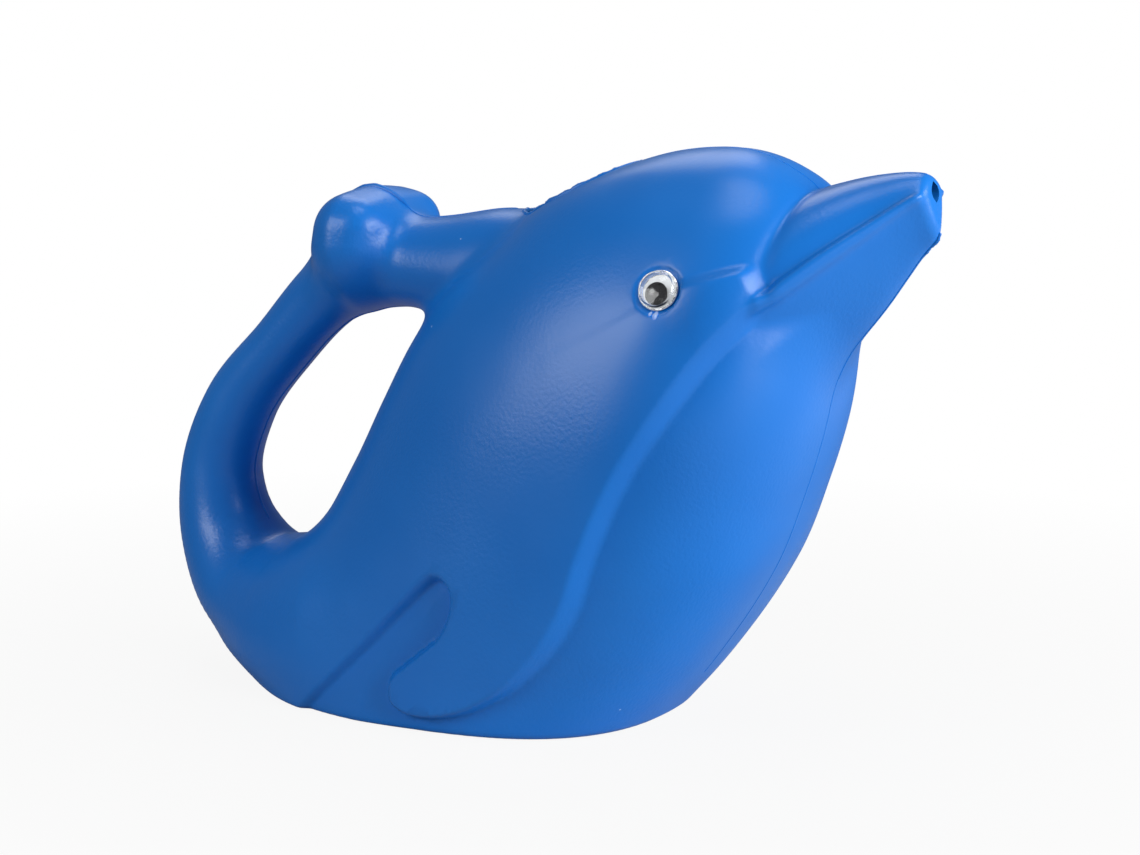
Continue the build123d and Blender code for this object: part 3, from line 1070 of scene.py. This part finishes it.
def make_specks():
    """Node group: round spots at the centres of some cells of a Voronoi pattern. The mask is 1
    nearer to the centre than the size, and only cells whose random number is below the share count."""
    group = bpy.data.node_groups.new("specks", "ShaderNodeTree")
    for name, kind in (("Vector", "NodeSocketVector"), ("Scale", "NodeSocketFloat"),
                       ("Size", "NodeSocketFloat"), ("Share", "NodeSocketFloat")):
        group.interface.new_socket(name, in_out="INPUT", socket_type=kind)
    group.interface.new_socket("Mask", in_out="OUTPUT", socket_type="NodeSocketFloat")
    given = group.nodes.new("NodeGroupInput").outputs
    pattern = {"Vector": given["Vector"], "Scale": given["Scale"]}
    cells = add_node(group, "ShaderNodeTexVoronoi", pattern).outputs
    spot = maths(group, "LESS_THAN", cells["Distance"], given["Size"])
    chosen = maths(group, "LESS_THAN", cells["Color"], given["Share"])
    fill(group, group.nodes.new("NodeGroupOutput"), {"Mask": maths(group, "MULTIPLY", spot, chosen)})
    return group


speck_group = make_specks()


def specks(tree, place, scale, size, share):
    """Places the group of specks in a material and returns its mask."""
    values = {"Vector": place, "Scale": scale, "Size": size, "Share": share}
    return add_node(tree, "ShaderNodeGroup", values, node_tree=speck_group).outputs["Mask"]


def object_place(tree, stretch=None, turn=(0.0, 0.0, 0.0)):
    """The point's place on the piece, or that place stretched and turned by a Mapping node."""
    place = add_node(tree, "ShaderNodeTexCoord", {}).outputs["Object"]
    if stretch is None:
        return place
    values = {"Vector": place, "Scale": stretch, "Rotation": turn}
    return add_node(tree, "ShaderNodeMapping", values).outputs["Vector"]


def finish_with(material, *pieces):
    """Gives pieces one material."""
    for piece in pieces:
        piece.data.materials.clear()
        piece.data.materials.append(material)


print("speck group with", len(speck_group.nodes), "nodes")

# %% Blue plastic
deep_blue = (0.0045, 0.156, 0.585, 1)
light_blue = (0.0060, 0.175, 0.630, 1)
speck_blue = (0.35, 0.55, 0.85, 1)
scuff_blue = (0.16, 0.36, 0.75, 1)


def moulded_blue():
    """Two close blues in broad clouds, pale specks and scuffs over them, a roughness that drifts, and a
    bump of two scales: slow waves of the wall, and the pebbled grain, which is stronger in patches."""
    material, tree, shader = new_material("moulded_blue")
    place = object_place(tree)
    clouds = ramp(tree, noise(tree, place, scale=14, detail=3), 0.35, 0.65)
    colour = blend_colours(tree, clouds, deep_blue, light_blue)
    dots = specks(tree, place, scale=62, size=0.022, share=0.30)
    colour = blend_colours(tree, dots, colour, speck_blue)
    streaked = object_place(tree, stretch=(1.0, 1.0, 0.16), turn=(0.0, 0.35, 0.0))
    scuffs = specks(tree, streaked, scale=85, size=0.018, share=0.10)
    colour = blend_colours(tree, scuffs, colour, scuff_blue)
    drift = ramp(tree, noise(tree, place, scale=30, detail=3), 0.3, 0.7, 0.29, 0.36)
    patches = ramp(tree, noise(tree, place, scale=22, detail=2), 0.42, 0.62, 0.25, 1.0)
    pebbles = maths(tree, "MULTIPLY", noise(tree, place, scale=850, detail=2), patches)
    waves = bump(tree, noise(tree, place, scale=38, detail=1), strength=0.25, distance=0.0012)
    grain = bump(tree, pebbles, strength=0.42, distance=0.00022, Normal=waves)
    fill(tree, shader, {"Base Color": colour, "Roughness": drift, "IOR": 1.45, "Normal": grain})
    return material


finish_with(moulded_blue(), shell, lip, *seams)

# %% White card, black pupil, clear dome and glue
def eye_card():
    """White card with a faint mottle."""
    material, tree, shader = new_material("eye_card")
    mottle = noise(tree, object_place(tree), scale=900, detail=3)
    colour = blend_colours(tree, mottle, (0.60, 0.61, 0.63, 1), (0.70, 0.71, 0.72, 1))
    fill(tree, shader, {"Base Color": colour, "Roughness": 0.55})
    return material


def pupil_black():
    """Black plastic card with a little dust."""
    material, tree, shader = new_material("pupil_black")
    place = object_place(tree)
    dust = specks(tree, place, scale=1800, size=0.16, share=0.25)
    colour = blend_colours(tree, dust, (0.006, 0.006, 0.007, 1), (0.12, 0.12, 0.13, 1))
    drift = ramp(tree, noise(tree, place, scale=1500), 0.3, 0.7, 0.25, 0.45)
    fill(tree, shader, {"Base Color": colour, "Roughness": drift, "Specular IOR Level": 0.25})
    return material


def clear_plastic(name, roughness, tint, clearness):
    """Clear plastic, or milky where it is less than fully clear. Lamps shine straight through it on what
    lies under it, and the eye sees it bend and shine: for a shadow ray, the surface is transparent."""
    material, tree, shader = new_material(name)
    ripples = noise(tree, object_place(tree), scale=320, detail=1)
    wobble = bump(tree, ripples, strength=0.1, distance=0.0003)
    fill(tree, shader, {"Base Color": tint, "Roughness": roughness, "IOR": 1.46, "Normal": wobble})
    fill(tree, shader, {"Transmission Weight": clearness})
    path = add_node(tree, "ShaderNodeLightPath", {}).outputs
    bare = add_node(tree, "ShaderNodeBsdfTransparent", {"Color": (0.93, 0.94, 0.95, 1)})
    show_mixed(tree, path["Is Shadow Ray"], shader, bare)
    return material


finish_with(eye_card(), *eye_pieces["backing"])
finish_with(pupil_black(), *eye_pieces["pupil"])
finish_with(clear_plastic("clear_dome", 0.03, (0.97, 0.98, 0.98, 1), 1.0), *eye_pieces["dome"])
finish_with(clear_plastic("clear_glue", 0.12, (0.72, 0.86, 0.98, 1), 0.6), *eye_pieces["glue"])
print("materials", len(bpy.data.materials))

# %% [markdown]
# ## Floor, surround and lamps
# The can stands on a plain pale floor in a white surround. To the camera, straight or through something
# clear, both are white, and as lights they are weak, so the lamps give the form and the floor keeps the
# can's shadow. The floor is paler near the can, which lights its underside, and in the plastic's sheen it
# is white on the side of the large panel. The lamps are soft panels: a large one to the right for the
# chest and belly, a small one to the left for the sheen on the cape and the light in the eye, one behind
# for the back and the handle, and one overhead for the crown.

# %% Floor and surround
floor_half = 3000.0
floor_corners = floor_half * np.array(((-1, -1, 0), (1, -1, 0), (1, 1, 0), (-1, 1, 0)))
floor = new_piece("floor", floor_corners, [(0, 1, 2, 3)], smooth=False)


def seen_by_eyes(tree):
    """1 for a ray that comes from the camera, straight or through something clear, and 0 for a ray that
    has met a surface on its way and only lights it."""
    path = add_node(tree, "ShaderNodeLightPath", {}).outputs
    seen = maths(tree, "MAXIMUM", path["Is Camera Ray"], path["Is Transmission Ray"])
    met = maths(tree, "ADD", path["Diffuse Depth"], path["Glossy Depth"])
    return maths(tree, "MULTIPLY", seen, maths(tree, "LESS_THAN", met, 0.5))


def seen_in_sheen(tree):
    """1 for a ray that a glossy surface sends on before it has met any matte one."""
    path = add_node(tree, "ShaderNodeLightPath", {}).outputs
    direct = maths(tree, "LESS_THAN", path["Diffuse Depth"], 0.5)
    return maths(tree, "MULTIPLY", path["Is Glossy Ray"], direct)


def pale_floor():
    """Matte grey, paler in a pool near the can, mixed for the eye with a white glow. Towards the large
    panel the floor is white in the plastic's sheen too, which is what pales the belly."""
    material, tree, shader = new_material("pale_floor")
    glow = add_node(tree, "ShaderNodeEmission", {"Strength": 1.0})
    place = object_place(tree)
    far = add_node(tree, "ShaderNodeVectorMath", {0: place}, operation="LENGTH").outputs["Value"]
    pool = ramp(tree, far, 0.08, 0.30)
    grey = blend_colours(tree, pool, (0.46, 0.46, 0.46, 1), (0.22, 0.22, 0.22, 1))
    fill(tree, shader, {"Base Color": grey, "Roughness": 0.9})
    pale = maths(tree, "MULTIPLY", seen_by_eyes(tree), ramp(tree, far, 0.10, 0.40, 0.91, 1.0))
    forward = add_node(tree, "ShaderNodeSeparateXYZ", {0: place}).outputs["X"]
    sheen = maths(tree, "MULTIPLY", seen_in_sheen(tree), ramp(tree, forward, 0.13, 0.25))
    show_mixed(tree, maths(tree, "MAXIMUM", pale, sheen), shader, glow)
    return material


finish_with(pale_floor(), floor)

world = bpy.data.worlds.new("surround")
bpy.context.scene.world = world
world.use_nodes = True
surround_light = 0.15
strength = ramp(world.node_tree, seen_by_eyes(world.node_tree), 0, 1, surround_light, 1.0)
background = world.node_tree.nodes["Background"]
fill(world.node_tree, background, {"Color": (1, 1, 1, 1), "Strength": strength})

# %% Lamps
lamp_distance = 1.2


def panel(name, azimuth, elevation, width, height, power):
    """An oblong lamp in a direction from the can, in degrees, that faces the can."""
    lamp = bpy.data.lights.new(name, "AREA")
    lamp.shape = "RECTANGLE"
    lamp.size = width
    lamp.size_y = height
    lamp.energy = power
    aim(placed(name, lamp), direction(azimuth, elevation), lamp_distance)


panel("right_panel", azimuth=90, elevation=19, width=1.10, height=0.70, power=21.0)
panel("left_panel", azimuth=-32, elevation=22, width=0.45, height=0.65, power=5.2)
panel("rear_panel", azimuth=212, elevation=46, width=0.60, height=0.60, power=2.6)
panel("top_panel", azimuth=30, elevation=85, width=0.50, height=0.50, power=2.4)
bpy.context.scene.view_settings.view_transform = "Standard"
print("lamps", len(bpy.data.lights))
